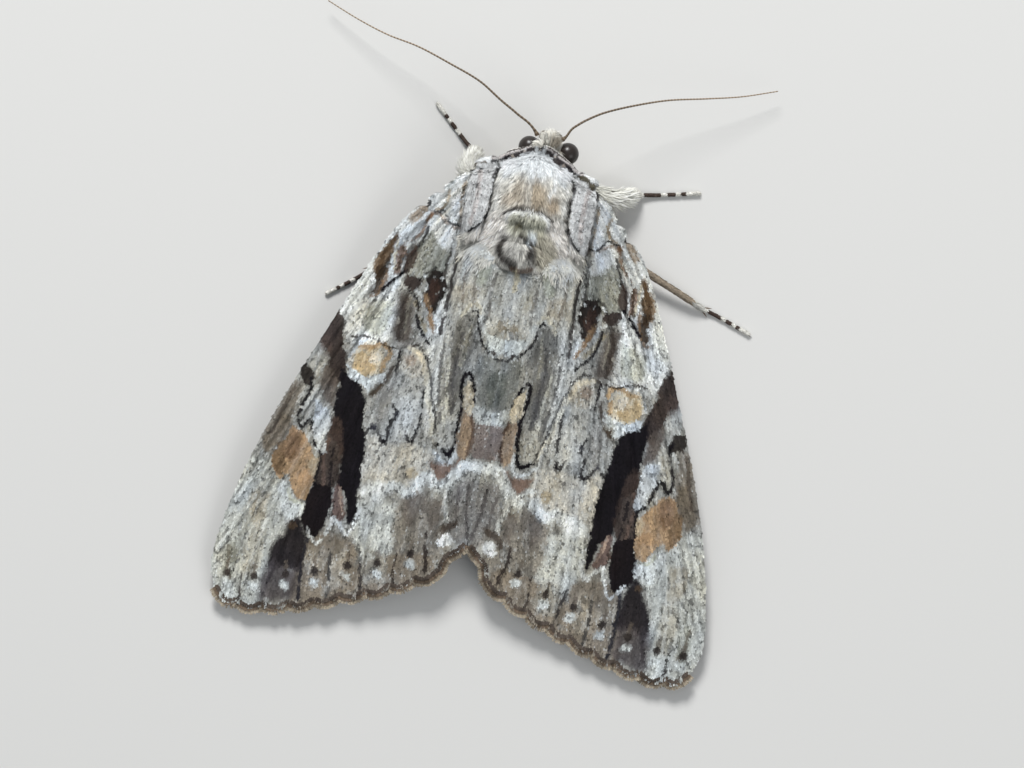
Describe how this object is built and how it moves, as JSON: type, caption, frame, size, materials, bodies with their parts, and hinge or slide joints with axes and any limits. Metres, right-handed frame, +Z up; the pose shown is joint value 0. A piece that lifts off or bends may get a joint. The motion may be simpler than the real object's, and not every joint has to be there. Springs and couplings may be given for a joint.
{
  "type": "underwing moth",
  "caption": "Life-size still model of a mottled grey underwing moth at rest on its feet, forewings closed as a low roof over its back, feelers swept out.",
  "frame": {"origin": "on the floor plane, under the middle of the moth's outline", "axes": "+Z up, the moth faces -Y, its left side is +X, its tail end is +Y"},
  "size_m": [0.0442, 0.0546, 0.0091],
  "materials": {
    "grey_scales": "matte mottled grey scales",
    "pale_fur": "soft pale grey-tan hair scales",
    "hindwing_scales": "matte black-brown scales",
    "leg_scales": "matte brown scales with whitish bands",
    "antenna_brown": "satin brown horn",
    "eye_brown": "glossy dark brown"
  },
  "bodies": {
    "root": {"head": "pale_fur", "eye_left": "eye_brown", "eye_right": "eye_brown", "palp_left": "pale_fur", "palp_right": "pale_fur", "antenna_left": "antenna_brown", "antenna_right": "antenna_brown", "collar": "pale_fur", "thorax": "pale_fur", "tegula_left": "pale_fur", "tegula_right": "pale_fur", "abdomen": "grey_scales", "forewing_left": "grey_scales", "forewing_right": "grey_scales", "hindwing_left": "hindwing_scales", "hindwing_right": "hindwing_scales", "leg_front_left": "leg_scales", "leg_front_right": "leg_scales", "leg_middle_left": "leg_scales", "leg_middle_right": "leg_scales", "leg_hind_left": "leg_scales", "leg_hind_right": "leg_scales"}
  },
  "joints": []
}
